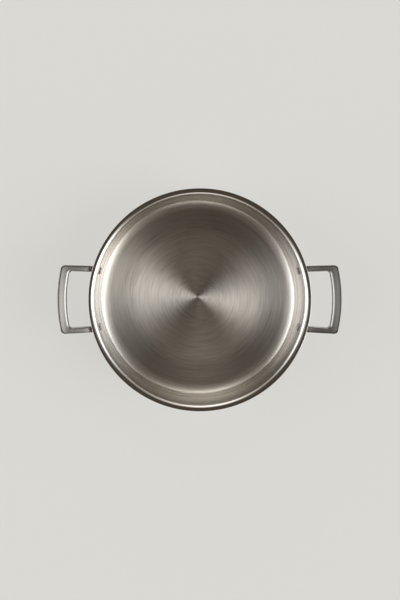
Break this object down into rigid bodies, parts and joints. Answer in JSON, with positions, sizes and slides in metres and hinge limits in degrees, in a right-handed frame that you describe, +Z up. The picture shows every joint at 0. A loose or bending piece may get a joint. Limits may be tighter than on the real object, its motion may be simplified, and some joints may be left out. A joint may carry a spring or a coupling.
{
  "type": "saute pan",
  "caption": "Round straight-sided saute pan with a flared pouring lip, a brushed steel inside and cast loop handles riveted on opposite sides.",
  "frame": {"origin": "centre of the underside of the base, on the surface that the pan stands on", "axes": "+X towards the right handle, along the line through both handles; +Z up out of the pan's mouth"},
  "size_m": [0.3814, 0.297, 0.0729],
  "materials": {
    "outer_steel": "polished steel with fine lines round the wall",
    "core_aluminium": "trimmed edge, seen only at the lip",
    "cooking_steel": "brushed in rings about the pan's centre",
    "cast_handle": "satin polished casting",
    "rivet_steel": "polished heads"
  },
  "bodies": {
    "root": {"outer_ply": "outer_steel", "core_ply": "core_aluminium", "inner_ply": "cooking_steel", "handle_right": "cast_handle", "handle_left": "cast_handle", "rivet_right_back": "rivet_steel", "rivet_left_back": "rivet_steel", "rivet_left_front": "rivet_steel", "rivet_right_front": "rivet_steel"}
  },
  "joints": []
}
